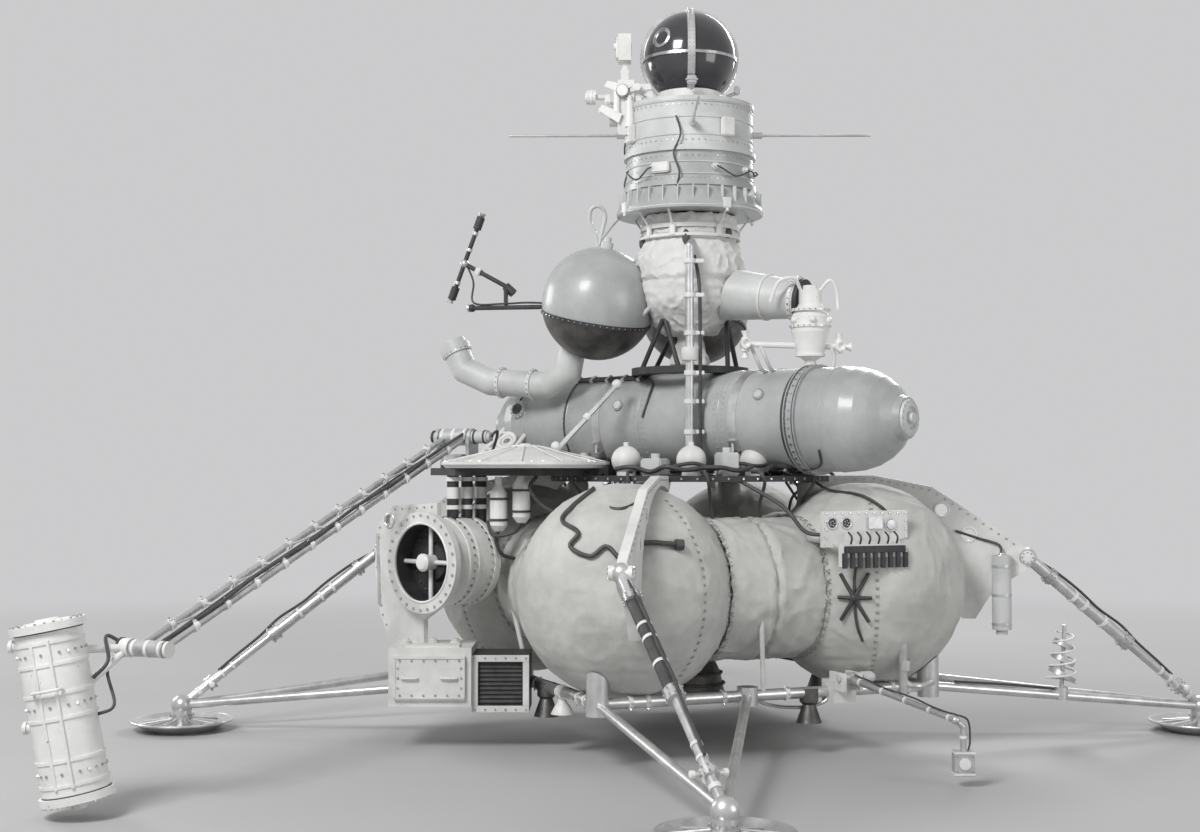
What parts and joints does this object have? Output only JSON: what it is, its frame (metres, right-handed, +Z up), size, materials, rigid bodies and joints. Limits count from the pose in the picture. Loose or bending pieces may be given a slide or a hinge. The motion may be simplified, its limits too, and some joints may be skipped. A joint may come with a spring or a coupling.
{
  "type": "robotic sample-return lunar lander",
  "caption": "Robotic lunar lander on dish feet, with a block of round tanks, a drill boom, an instrument cylinder and an ascent stage under a round capsule.",
  "frame": {"origin": "on the ground, under the vertical axis, midway between the dish feet", "axes": "+Z up; the landing legs lie along X and Y; -Y towards the front leg and +X towards the right leg"},
  "size_m": [6.11, 6.11, 3.96],
  "materials": {
    "alloy": "satin alloy",
    "dark_parts": "matt black",
    "grey_paint": "satin grey enamel",
    "polished_steel": "polished tube",
    "thermal_blanket": "quilted thermal blanket over a metal shell",
    "white_paint": "matt white paint"
  },
  "bodies": {
    "lander": {"Ascent_body": "thermal_blanket", "Ascent_tanks": "grey_paint", "Base_side_back": "polished_steel", "Base_side_front": "polished_steel", "Base_side_left": "polished_steel", "Base_side_right": "polished_steel", "Bent_duct": "white_paint", "Brace_back": "polished_steel", "Brace_front": "polished_steel", "Brace_left": "polished_steel", "Brace_right": "polished_steel", "Capsule_collar": "white_paint", "Capsule_straps": "polished_steel", "Conical_antenna": "dark_parts", "Deck": "dark_parts", "Drum_bracket": "white_paint", "Equipment_box": "white_paint", "Front_panel": "white_paint", "Hanging_canister": "white_paint", "Hatch_mechanism": "white_paint", "Instrument_cylinder": "grey_paint", "Intertank_sections": "thermal_blanket", "Jet_boom": "dark_parts", "Landing_thrusters": "dark_parts", "Leg_brackets": "white_paint", "Lens_disc": "white_paint", "Lower_drum": "grey_paint", "Main_engine": "dark_parts", "Outrigger": "dark_parts", "Pad_back": "polished_steel", "Pad_front": "polished_steel", "Pad_left": "polished_steel", "Pad_right": "polished_steel", "Probe_bracket": "white_paint", "Radiator_box": "dark_parts", "Return_capsule": "dark_parts", "Side_cone": "white_paint", "Side_drum": "white_paint", "Side_trusses": "white_paint", "Stage_stand": "dark_parts", "Standpipes": "grey_paint", "Strut_back": "polished_steel", "Strut_front": "polished_steel", "Strut_left": "polished_steel", "Strut_right": "polished_steel", "Tank_back": "thermal_blanket", "Tank_front": "thermal_blanket", "Tank_left": "thermal_blanket", "Tank_right": "thermal_blanket", "Thruster_block": "white_paint", "Upper_drum": "grey_paint", "Whip_antennas": "polished_steel"},
    "boom_turntable": {"Boom_turret": "alloy"},
    "boom_arm": {"Boom": "alloy"},
    "drill_head": {"Drill_canister": "white_paint"},
    "hatch": {"Hatch_lid": "white_paint"},
    "probe": {"Probe_arm": "alloy"}
  },
  "joints": [
    {"name": "boom_turn", "type": "hinge", "parent": "lander", "child": "boom_turntable", "pos_m": [-1.301, 0.182, 1.5], "axis": [0, 0, 1], "range_deg": [-40, 5]},
    {"name": "boom_lift", "type": "hinge", "parent": "boom_turntable", "child": "boom_arm", "pos_m": [-1.301, 0.182, 1.603], "axis": [-0.9092, 0.4163, 0], "range_deg": [0, 110]},
    {"name": "drill_tilt", "type": "hinge", "parent": "boom_arm", "child": "drill_head", "pos_m": [-2.36422, -2.14027, 0.67339], "axis": [-0.9092, 0.4163, 0], "range_deg": [0, 100]},
    {"name": "hatch_open", "type": "hinge", "parent": "lander", "child": "hatch", "pos_m": [-0.358, -0.085, 3.588], "axis": [0, -1, 0], "range_deg": [0, 60]},
    {"name": "probe_lift", "type": "hinge", "parent": "lander", "child": "probe", "pos_m": [0.7517, -0.8035, 0.386], "axis": [-0.9239, -0.3827, 0], "range_deg": [0, 40]}
  ]
}
